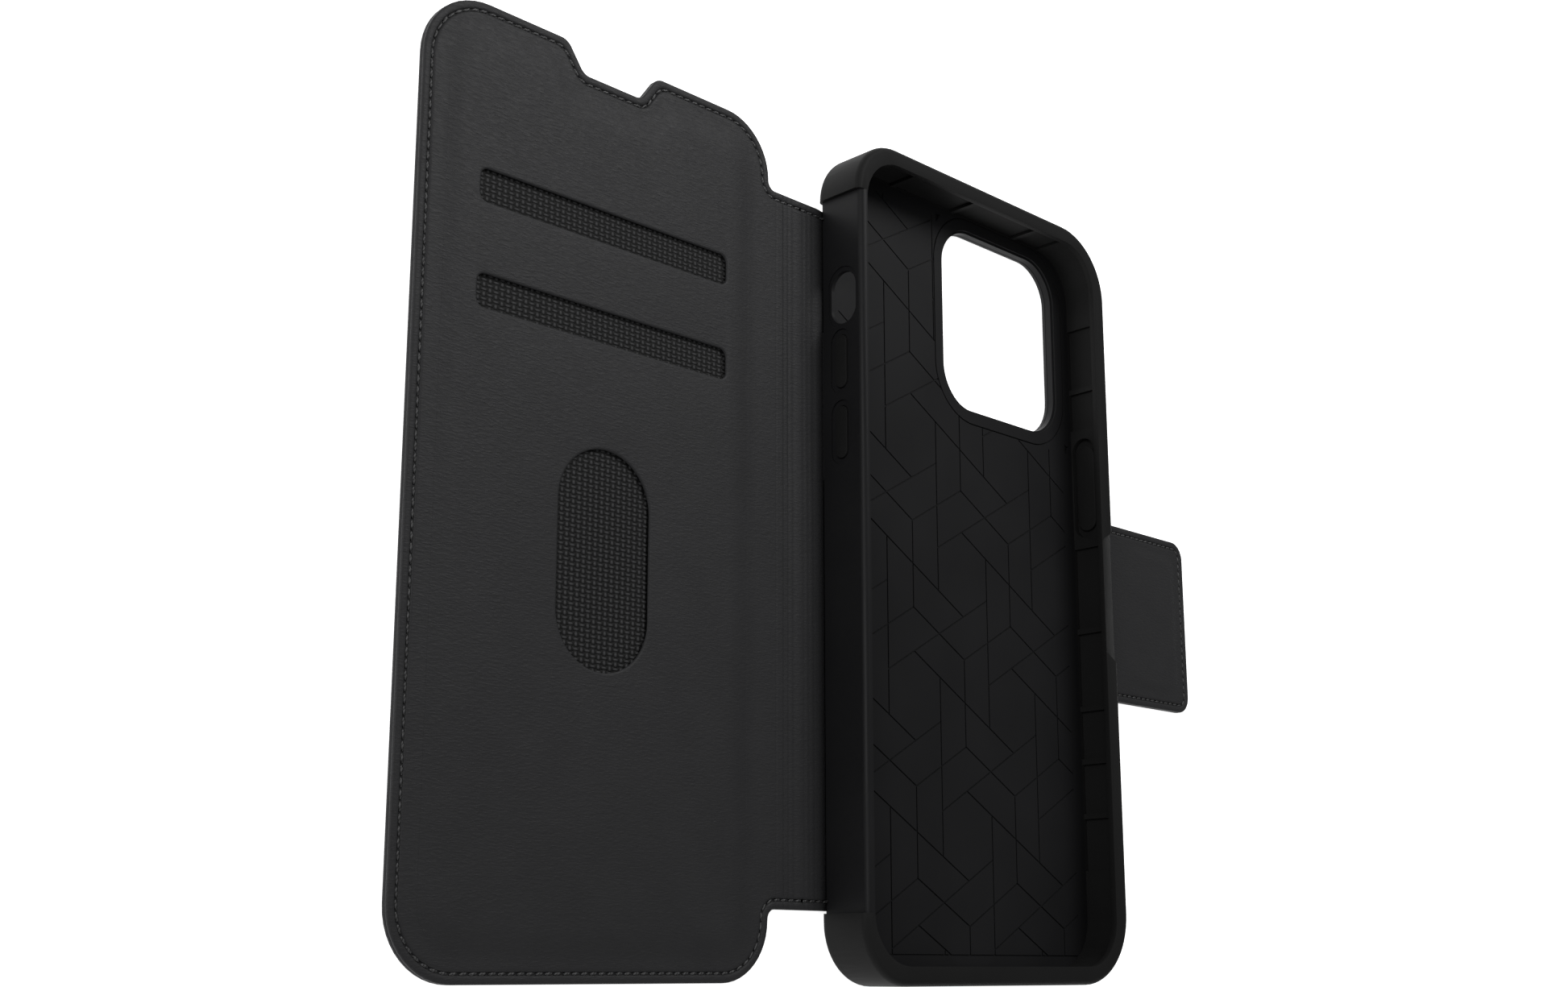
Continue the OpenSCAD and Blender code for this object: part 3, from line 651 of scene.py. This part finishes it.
@dataclass
class Cover:
    """The stitched cover: two leathers, a board, a pocket lining and thread."""

    left: float = -136.9
    right: float = -56.4
    half: float = 82.95
    spine_half: float = 69.9
    r_bottom: float = 12.2
    r_top: float = 13.1
    r_inner: float = 11.1
    fillet: float = 1.8
    notch_x: float = -96.2
    notch_floor: float = 6.7
    notch_side: float = 3.9
    notch_depth: float = 5.5
    slot_x: tuple[float, float] = (-125.0, -68.2)
    slots_y: tuple[tuple[float, float], ...] = ((46.3, 52.3), (27.5, 33.5))
    window_x: tuple[float, float] = (-106.8, -86.5)
    window_y: tuple[float, float] = (-31.2, 8.1)
    board_in: float = 5.2
    pocket_y: tuple[float, float] = (-41.0, 55.0)

    def notch(self, inset: float) -> list[Corner]:
        """Returns the notch's corners, from its right shoulder to its left."""
        top, floor = self.half - inset, self.half - self.notch_depth - inset
        low = self.notch_floor + 0.52 * inset
        high = low + self.notch_side
        bend, dip = 1.3 + 0.1 * inset, 1.2 + 0.2 * inset
        return [Corner(self.notch_x + high, top, bend, 6), Corner(self.notch_x + low, floor, dip, 6),
                Corner(self.notch_x - low, floor, dip, 6), Corner(self.notch_x - high, top, bend, 6)]

    def panel(self, inset: float) -> list[Corner]:
        """Returns the cover panel's corners, anticlockwise from the lower left."""
        left, half = self.left + inset, self.half - inset
        right = self.right - inset - max(inset - 3.3, 0) * 0.25
        return [Corner(left, -half, self.r_bottom - inset, 12),
                Corner(right, -half, self.r_inner - inset, 12),
                Corner(right, half, self.r_inner - inset, 12), *self.notch(inset),
                Corner(left, half, self.r_top - inset, 12)]

    def whole(self, inset: float) -> list[Corner]:
        """Returns the corners of the panel with its half of the spine."""
        left, right, half = self.left + inset, self.right - inset, self.half - inset
        spine = self.spine_half - inset
        return [Corner(left, -half, self.r_bottom - inset, 12),
                Corner(right, -half, self.r_inner - inset, 12),
                Corner(right, -spine, self.fillet + inset, 6), Corner(SPINE_SEAM, -spine),
                Corner(SPINE_SEAM, spine), Corner(right, spine, self.fillet + inset, 6),
                Corner(right, half, self.r_inner - inset, 12), *self.notch(inset),
                Corner(left, half, self.r_top - inset, 12)]

    def openings(self) -> list[Outline]:
        """Returns the outlines of the card slots and the thumb window, each grown by a margin."""
        made: list[Outline] = []
        boxes = [(self.slot_x, y, 1.6) for y in self.slots_y]
        boxes.append((self.window_x, self.window_y, (self.window_x[1] - self.window_x[0]) / 2 - 0.02))
        for (x0, x1), (y0, y1), r in boxes:
            def outline(grow: float, x0: float = x0, x1: float = x1, y0: float = y0, y1: float = y1,
                        r: float = r) -> list[Corner]:
                """Returns one opening's corners."""
                n = 8 if r < 3 else 20
                return [Corner(x0 - grow, y0 - grow, r + grow, n), Corner(x1 + grow, y0 - grow, r + grow, n),
                        Corner(x1 + grow, y1 + grow, r + grow, n), Corner(x0 - grow, y1 + grow, r + grow, n)]
            made.append(outline)
        return made

    def outer(self) -> bpy.types.Object:
        """Builds the outer leather, with its half of the spine."""
        skin = Skin()
        rings = skin.rise(self.whole, EDGE_LEVELS)
        skin.fill(rings[0])
        skin.fill(rings[-1])
        skin.slice(COVER_FOLD.cuts())
        piece = skin.finish("cover_outer_skin", OUTER_LEATHER)
        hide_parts("cover_outer_leather")
        COVER_FOLD.bend(piece)
        return piece

    def inner(self) -> bpy.types.Object:
        """Builds the inner leather with its raised panel, card slots and window."""
        skin = Skin()
        border = skin.rise(self.whole, LINER_LOW)
        raised = skin.rise(self.panel, RISE_LEVELS)
        skin.fill(border[-1], raised[0])
        under = skin.rise(self.panel, [(self.board_in, LINER_LOW[0][1]), (self.board_in, 1.75)])
        skin.fill(border[0], under[0])
        tops, bottoms = [], []
        for outline in self.openings():
            wall = skin.rise(outline, [(0.5, 2.2), (0.32, 2.19), (0.12, 2.13), (0.0, 2.0), (0.0, 1.83),
                                       (0.1, 1.75)])
            tops.append(wall[0])
            bottoms.append(wall[-1])
        skin.fill(raised[-1], *tops)
        skin.fill(under[-1], *bottoms)
        skin.slice(COVER_FOLD.cuts())
        skin.crease((-54.4, -52.5, -51.1, -49.7), LINER_TOP, CREASE_DEPTH)
        skin.press((-51.4, SPINE_SEAM), PRESS_Y, LINER_TOP, PRESS_DEPTH)
        piece = skin.finish("cover_inner_skin", INNER_LEATHER)
        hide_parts("cover_liner")
        COVER_FOLD.bend(piece)
        return piece

    def stitches(self) -> bpy.types.Object:
        """Sews round the cover and along its half of the spine."""
        path = trace(self.whole(STITCH_IN))
        start = next(i for i, p in enumerate(path)
                     if abs(p.x - SPINE_SEAM * MM) < 1e-6 and p.y > 0)
        path = path[start:] + path[:start]
        piece = stitch_run("cover_stitches", path, STITCH_Z)
        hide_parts("cover_stitching")
        COVER_FOLD.bend(piece)
        return piece

    def lining(self) -> bpy.types.Object:
        """Lays the woven lining at the back of the card pocket."""
        skin = Skin()
        x0, x1 = self.slot_x[0] - 1, self.slot_x[1] + 1
        y0, y1 = self.pocket_y

        def sheet(inset: float) -> list[Corner]:
            """Returns the lining's corners."""
            return [Corner(x0 + inset, y0 + inset, 2, 4), Corner(x1 - inset, y0 + inset, 2, 4),
                    Corner(x1 - inset, y1 - inset, 2, 4), Corner(x0 + inset, y1 - inset, 2, 4)]

        rings = skin.rise(sheet, [(0.0, 1.31), (0.0, 1.45)])
        skin.fill(rings[0])
        skin.fill(rings[1])
        piece = skin.finish("woven_pocket_lining", LINING)
        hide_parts("pocket_cloth")
        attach(piece, "cover")
        return piece

    def build(self) -> None:
        """Builds and dresses the whole cover."""
        self.outer()
        self.inner()
        self.stitches()
        self.lining()
        dress("cover_board", BOARD)
        dress("cover_keeper_strip", STEEL)


@dataclass
class Spine:
    """The tray side of the spine: its outer leather, inner leather and thread."""

    half: float = 69.9
    wall: float = -40.65

    def strip(self, x0: float, x1: float, half: float) -> Outline:
        """Returns the outline of a straight strip that is inset only along its long edges."""
        def outline(inset: float) -> list[Corner]:
            """Returns the strip's corners."""
            return [Corner(x0, -half + inset), Corner(x1, -half + inset), Corner(x1, half - inset),
                    Corner(x0, half - inset)]
        return outline

    def outer(self) -> bpy.types.Object:
        """Builds the outer leather from the middle of the spine to the tray's edge."""
        skin = Skin()
        rings = skin.rise(self.strip(SPINE_SEAM, -39.0, self.half), EDGE_LEVELS)
        skin.fill(rings[0])
        skin.fill(rings[-1])
        skin.slice(SPINE_FOLD.cuts())
        piece = skin.finish("spine_outer_skin", OUTER_LEATHER)
        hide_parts("spine_outer_leather")
        SPINE_FOLD.bend(piece)
        return piece

    def inner(self) -> bpy.types.Object:
        """Builds the inner leather from the middle of the spine to the tray's wall."""
        skin = Skin()
        rings = skin.rise(self.strip(SPINE_SEAM, self.wall, self.half), LINER_LOW)
        skin.fill(rings[0])
        skin.fill(rings[-1])
        skin.slice(SPINE_FOLD.cuts() + [-42.6, -42.2, -41.8, -41.3, -41.0, -40.8])
        skin.crease((-46.9, -45.6, -44.2), LINER_TOP, CREASE_DEPTH)
        skin.press((SPINE_SEAM, -43.7), PRESS_Y, LINER_TOP, PRESS_DEPTH)
        for vert in skin.bm.verts:
            near = (vert.co.x / MM + 43.2) / (43.2 + self.wall)
            if near > 0 and vert.co.z > 1.1 * MM:
                vert.co.z -= (vert.co.z - 0.9 * MM) * near ** 2
        piece = skin.finish("spine_inner_skin", INNER_LEATHER)
        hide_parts("spine_liner")
        SPINE_FOLD.bend(piece)
        return piece

    def stitches(self) -> bpy.types.Object:
        """Sews along both ends of the spine's tray side."""
        rows = []
        for side in (-1, 1):
            y = side * (self.half - STITCH_IN) * MM
            rows.append([Vector((SPINE_SEAM * MM, y, 0)), Vector((self.wall * MM, y, 0))])
        joined = rows[0] + [rows[1][1], rows[1][0]]
        piece = stitch_run("spine_stitches", joined, STITCH_Z,
                           keep=lambda p: abs(abs(p.y) - (self.half - STITCH_IN) * MM) < 1e-6)
        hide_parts("spine_stitching")
        SPINE_FOLD.bend(piece)
        return piece

    def build(self) -> None:
        """Builds the spine's pieces."""
        self.outer()
        self.inner()
        self.stitches()


@dataclass
class Strap:
    """The closing strap: its side section and its magnetic tab."""

    root: float = 41.6
    tip: float = 84.6
    half: float = 20.8
    r: float = 4.0
    plate_x0: float = 61.2

    def side(self, x0: float, x1: float) -> Outline:
        """Returns the outline of the strap's straight part."""
        def outline(inset: float) -> list[Corner]:
            """Returns the part's corners."""
            return [Corner(x0, -self.half + inset), Corner(x1, -self.half + inset),
                    Corner(x1, self.half - inset), Corner(x0, self.half - inset)]
        return outline

    def tab(self, inset: float) -> list[Corner]:
        """Returns the corners of the strap from its middle seam to its tip."""
        r = max(self.r - inset, 1.2)
        return [Corner(STRAP_SEAM, -self.half + inset), Corner(self.tip - inset, -self.half + inset, r),
                Corner(self.tip - inset, self.half - inset, r), Corner(STRAP_SEAM, self.half - inset)]

    def plate(self, inset: float) -> list[Corner]:
        """Returns the corners of the raised area over the stiff plate."""
        x0, x1 = self.plate_x0 - 2.6 + 1.8 * inset, self.tip - 2.6 - inset
        half = self.half - 2.6 - inset
        r = 3.4 - 0.2 * inset
        return [Corner(x0, -half, r), Corner(x1, -half, r), Corner(x1, half, r), Corner(x0, half, r)]

    def layer(self, name: str, outline: Outline, levels: Sequence[tuple[float, float]], fold: Fold,
              finish: Finish, node: str, raised: bool = False) -> bpy.types.Object:
        """Builds one leather layer of the strap.

        Args:
            name: The piece's name.
            outline: The layer's outline.
            levels: Its rings from the lowest to the highest.
            fold: The fold that it bends across.
            finish: What it is made of.
            node: The CAD node that it stands for.
            raised: True where the stiff plate shows through.

        Returns:
            The new object.
        """
        skin = Skin()
        rings = skin.rise(outline, levels)
        skin.fill(rings[0])
        if raised:
            steps = skin.rise(self.plate, [(0.4, 1.6), (1.0, 1.61), (1.6, 1.65), (2.2, 1.73), (2.8, 1.8),
                                           (3.4, 1.84), (4.0, 1.85)])
            skin.fill(rings[-1], steps[0])
            skin.fill(steps[-1])
        else:
            skin.fill(rings[-1])
        skin.slice(fold.cuts())
        piece = skin.finish(name, finish)
        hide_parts(node)
        fold.bend(piece)
        return piece

    def build(self) -> None:
        """Builds both sections of the strap with their stitching."""
        root = self.side(self.root, STRAP_SEAM)
        self.layer("strap_root_outer_skin", root, EDGE_LEVELS, STRAP_FOLD, OUTER_LEATHER,
                   "strap_side_leather")
        self.layer("strap_root_inner_skin", root, LINER_LOW, STRAP_FOLD, INNER_LEATHER,
                   "strap_side_liner")
        self.layer("strap_tab_outer_skin", self.tab, EDGE_LEVELS, TAB_FOLD, OUTER_LEATHER,
                   "strap_tab_leather")
        self.layer("strap_tab_inner_skin", self.tab, LINER_LOW[:-1], TAB_FOLD, INNER_LEATHER,
                   "strap_tab_liner", raised=True)
        path = trace(self.tab(STITCH_IN))
        start = next(i for i, p in enumerate(path) if abs(p.x - STRAP_SEAM * MM) < 1e-6 and p.y < 0)
        piece = stitch_run("strap_tab_stitches", path[start:] + path[:start], STITCH_Z)
        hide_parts("strap_tab_stitching")
        TAB_FOLD.bend(piece)
        y = (self.half - STITCH_IN) * MM
        ends = [Vector((STRAP_SEAM * MM, -y, 0)), Vector((self.root * MM, -y, 0)),
                Vector((self.root * MM, y, 0)), Vector((STRAP_SEAM * MM, y, 0))]
        piece = stitch_run("strap_root_stitches", ends, STITCH_Z, keep=lambda p: abs(abs(p.y) - y) < 1e-6)
        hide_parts("strap_side_stitching")
        STRAP_FOLD.bend(piece)
        dress("strap_tab_plate", BOARD)
        dress("strap_magnets", NICKEL)


@dataclass
class Tray:
    """The hard shell, the leather behind it, the soft bumper, the camera surround and the keys."""

    edge_mm: float = 0.22
    back_edge_mm: float = 0.09
    keys: dict[str, str] = field(default_factory=lambda: {
        "volume_up_key": "volume_up", "volume_down_key": "volume_down", "power_key": "power"})

    def build(self) -> None:
        """Dresses the shell, camera surround and bonding film, and copies the back leather, bumper and keys
        with softened edges.
        """
        dress("hard_shell", POLYCARBONATE)
        dress("camera_surround", POLYCARBONATE)
        dress("back_adhesive", BOND)
        back = softened("back_leather", "back_outer_skin", OUTER_LEATHER, self.back_edge_mm)
        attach(back, "tray")
        bumper = softened("bumper", "soft_bumper", ELASTOMER, self.edge_mm)
        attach(bumper, "tray")
        for node, body in self.keys.items():
            key = softened(node, node + "_pad", ELASTOMER, 0.25)
            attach(key, body)


def dress(node: str, finish: Finish) -> None:
    """Gives a CAD node its finish, and leaves its shape alone."""
    material = finish.material()
    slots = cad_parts[node].material_slots
    for slot in slots:
        slot.material = material
    LOG.info("%s: dressed in %s", node, finish.name)


# ---------------------------------------------------------------- studio


class Lamp(Enum):
    """The soft lights, each with place, size, power and target in metres and watts."""

    KEY = ((0.14, 0.38, 0.42), 0.35, 2.0, (-0.03, 0.03, 0.0))
    FILL = ((-0.55, 0.1, 0.3), 0.35, 1.55, (-0.03, 0.0, 0.0))
    FRONT = ((0.02, -0.55, 0.2), 0.3, 0.6, (0.0, -0.06, 0.0))


@dataclass
class Studio:
    """White paper, soft light and the camera."""

    eye: tuple[float, float, float] = (-0.2928, -0.08064, 0.24328)
    right: tuple[float, float, float] = (0.70997, -0.00046, 0.70423)
    up: tuple[float, float, float] = (-0.14824, 0.97750, 0.15009)
    lens_mm: float = 42.19
    shift: tuple[float, float] = (0.0016, 0.0509)
    sky: float = 0.2

    def camera(self) -> None:
        """Sets the camera at the viewing angle."""
        data = bpy.data.cameras.new("camera")
        data.lens = self.lens_mm
        data.sensor_width = 36
        data.shift_x, data.shift_y = self.shift
        data.clip_start = 0.01
        view = bpy.data.objects.new("camera", data)
        right, up = Vector(self.right).normalized(), Vector(self.up).normalized()
        back = right.cross(up)
        turn = Matrix((right, up, back)).transposed().to_4x4()
        view.matrix_world = Matrix.Translation(self.eye) @ turn
        bpy.context.scene.collection.objects.link(view)
        bpy.context.scene.camera = view

    def lights(self) -> None:
        """Hangs the soft lights and sets an even sky."""
        for lamp in Lamp:
            place, size, power, target = lamp.value
            data = bpy.data.lights.new(lamp.name.lower(), "AREA")
            data.shape = "DISK"
            data.size = size
            data.energy = power
            light = bpy.data.objects.new(lamp.name.lower(), data)
            aim = (Vector(target) - Vector(place)).to_track_quat("-Z", "Y")
            light.matrix_world = Matrix.Translation(place) @ aim.to_matrix().to_4x4()
            bpy.context.scene.collection.objects.link(light)
        world = bpy.data.worlds.new("studio")
        world.use_nodes = True
        tree = world.node_tree
        tree.nodes.clear()
        ground = put(tree, "Background", {"Color": (1, 1, 1, 1), "Strength": self.sky})
        put(tree, "OutputWorld", {"Surface": ground.outputs[0]})
        bpy.context.scene.world = world
        bpy.context.scene.view_settings.view_transform = "Standard"

    def floor(self) -> None:
        """Lays the white paper that the open case rests on."""
        bm = bmesh.new()
        bmesh.ops.create_grid(bm, x_segments=8, y_segments=8, size=3)
        bmesh.ops.translate(bm, verts=bm.verts[:], vec=(0, 0, -0.0001))
        mesh = bpy.data.meshes.new("paper")
        bm.to_mesh(mesh)
        bm.free()
        make("paper", mesh, PAPER)

    def build(self) -> None:
        """Sets the camera, the lights and the floor."""
        self.camera()
        self.lights()
        self.floor()


def main() -> None:
    """Builds the studio and every sub-assembly in order."""
    logging.basicConfig(level=logging.INFO, format="%(name)s %(message)s")
    Studio().build()
    for part in (Tray(), Cover(), Spine(), Strap()):
        part.build()


if __name__ == "__main__":
    main()
